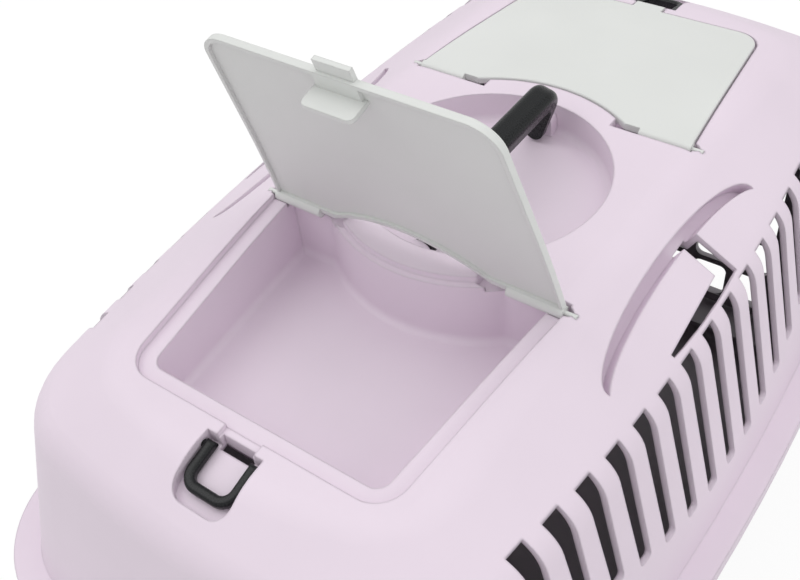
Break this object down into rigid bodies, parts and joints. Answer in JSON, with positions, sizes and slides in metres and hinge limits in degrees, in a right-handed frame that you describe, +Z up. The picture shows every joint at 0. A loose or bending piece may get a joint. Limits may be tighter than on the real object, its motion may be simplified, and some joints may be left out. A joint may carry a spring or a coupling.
{
  "type": "pet carrier",
  "caption": "Two-shell plastic pet carrier with slotted sides, roof storage boxes with hinged lids, fold-down handle, strap rings and grille door.",
  "frame": {"origin": "centre of the base on the surface it stands on", "axes": "+X towards the door, +Y to the left side seen from the rear, +Z up"},
  "size_m": [0.5501, 0.3458, 0.4531],
  "materials": {
    "shell_plastic": "fine satin moulded plastic, pale lilac",
    "base_plastic": "satin to semi-gloss dark grey moulded plastic",
    "lid_plastic": "fine satin moulded plastic, light grey",
    "black_plastic": "semi-gloss black moulded plastic"
  },
  "bodies": {
    "shells": {"top_shell": "shell_plastic", "base_tub": "base_plastic"},
    "front_lid": {"front_lid": "lid_plastic"},
    "rear_lid": {"rear_lid": "lid_plastic"},
    "handle": {"carry_handle": "black_plastic"},
    "front_ring": {"front_strap_ring": "black_plastic"},
    "rear_ring": {"rear_strap_ring": "black_plastic"},
    "door": {"door_grille": "base_plastic", "bolt_cover": "base_plastic"},
    "upper_bolt": {"upper_bolt": "black_plastic"},
    "lower_bolt": {"lower_bolt": "black_plastic"},
    "rear_right_clip": {"rear_right_clip": "lid_plastic"},
    "rear_left_clip": {"rear_left_clip": "lid_plastic"},
    "front_right_clip": {"front_right_clip": "lid_plastic"},
    "front_left_clip": {"front_left_clip": "lid_plastic"}
  },
  "joints": [
    {"name": "front_lid_hinge", "type": "hinge", "parent": "shells", "child": "front_lid", "pos_m": [0.0652, 0, 0.33144], "axis": [0, -1, 0], "range_deg": [0, 92]},
    {"name": "rear_lid_hinge", "type": "hinge", "parent": "shells", "child": "rear_lid", "pos_m": [-0.0652, 0, 0.33144], "axis": [0, 1, 0], "range_deg": [-77.5, 14.5]},
    {"name": "handle_pivot", "type": "hinge", "parent": "shells", "child": "handle", "pos_m": [0, 0, 0.3244], "axis": [1, 0, 0], "range_deg": [-103, 75]},
    {"name": "front_ring_pivot", "type": "hinge", "parent": "shells", "child": "front_ring", "pos_m": [0.196, 0, 0.32], "axis": [0, -1, 0], "range_deg": [0, 104]},
    {"name": "rear_ring_pivot", "type": "hinge", "parent": "shells", "child": "rear_ring", "pos_m": [-0.196, 0, 0.32], "axis": [0, 1, 0], "range_deg": [0, 104]},
    {"name": "door_hinge", "type": "hinge", "parent": "shells", "child": "door", "pos_m": [0.262, -0.0935, 0.143], "axis": [0, 0, -1], "range_deg": [0, 105]},
    {"name": "upper_bolt_slide", "type": "slide", "parent": "door", "child": "upper_bolt", "axis": [0, 0, 1], "range_m": [0, 0.008]},
    {"name": "lower_bolt_slide", "type": "slide", "parent": "door", "child": "lower_bolt", "axis": [0, 0, -1], "range_m": [0, 0.008]},
    {"name": "rear_right_clip_hinge", "type": "hinge", "parent": "shells", "child": "rear_right_clip", "pos_m": [-0.15, -0.15864, 0.189], "axis": [1, 0, 0], "range_deg": [0, 110]},
    {"name": "rear_left_clip_hinge", "type": "hinge", "parent": "shells", "child": "rear_left_clip", "pos_m": [-0.15, 0.15864, 0.189], "axis": [-1, 0, 0], "range_deg": [0, 110]},
    {"name": "front_right_clip_hinge", "type": "hinge", "parent": "shells", "child": "front_right_clip", "pos_m": [0.15, -0.15864, 0.189], "axis": [1, 0, 0], "range_deg": [0, 110]},
    {"name": "front_left_clip_hinge", "type": "hinge", "parent": "shells", "child": "front_left_clip", "pos_m": [0.15, 0.15864, 0.189], "axis": [-1, 0, 0], "range_deg": [0, 110]}
  ]
}
